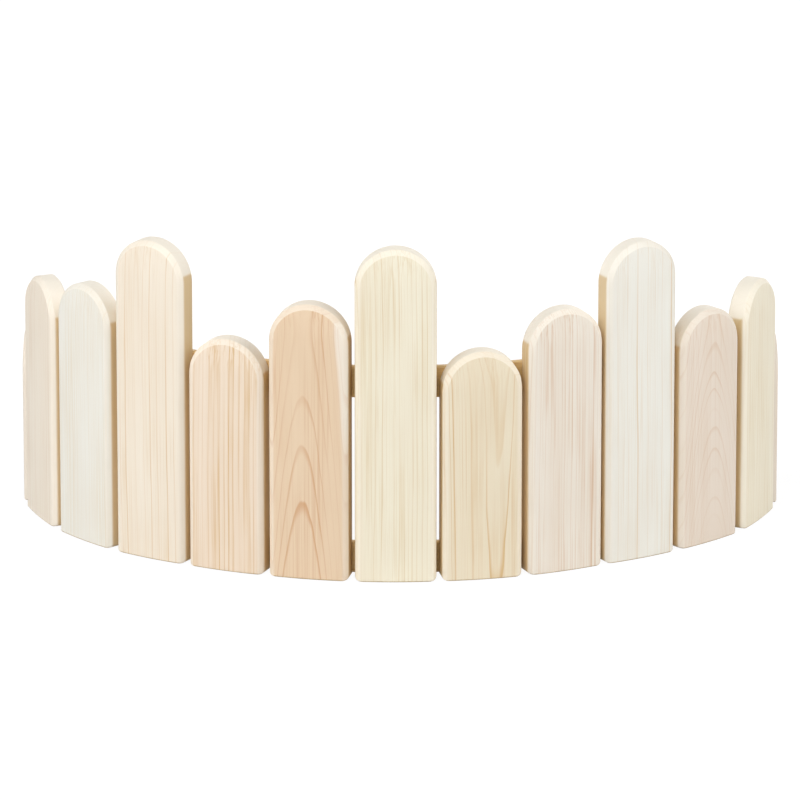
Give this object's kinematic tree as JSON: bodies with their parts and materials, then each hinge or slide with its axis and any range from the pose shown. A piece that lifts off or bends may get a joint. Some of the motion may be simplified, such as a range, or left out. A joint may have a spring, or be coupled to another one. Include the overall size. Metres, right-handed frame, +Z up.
{
  "type": "curved wooden garden edging",
  "caption": "Low free-standing edging of round-topped wooden boards of uneven height, set in a bow by two bent rails behind them, to border a flower bed.",
  "frame": {"origin": "on the ground, under the middle of the centre board's foot", "axes": "+X to the right along the row of boards, +Y into the bed behind them, +Z up; the convex show side faces -Y"},
  "size_m": [0.6651, 0.2954, 0.297],
  "materials": {
    "board_wood": "planed bare softwood",
    "rail_wood": "planed bare softwood"
  },
  "bodies": {
    "root": {"board_01": "board_wood", "board_02": "board_wood", "board_03": "board_wood", "board_04": "board_wood", "board_05": "board_wood", "board_06": "board_wood", "board_07": "board_wood", "board_08": "board_wood", "board_09": "board_wood", "board_10": "board_wood", "board_11": "board_wood", "board_12": "board_wood", "board_13": "board_wood", "lower_rail": "rail_wood", "upper_rail": "rail_wood"}
  },
  "joints": []
}
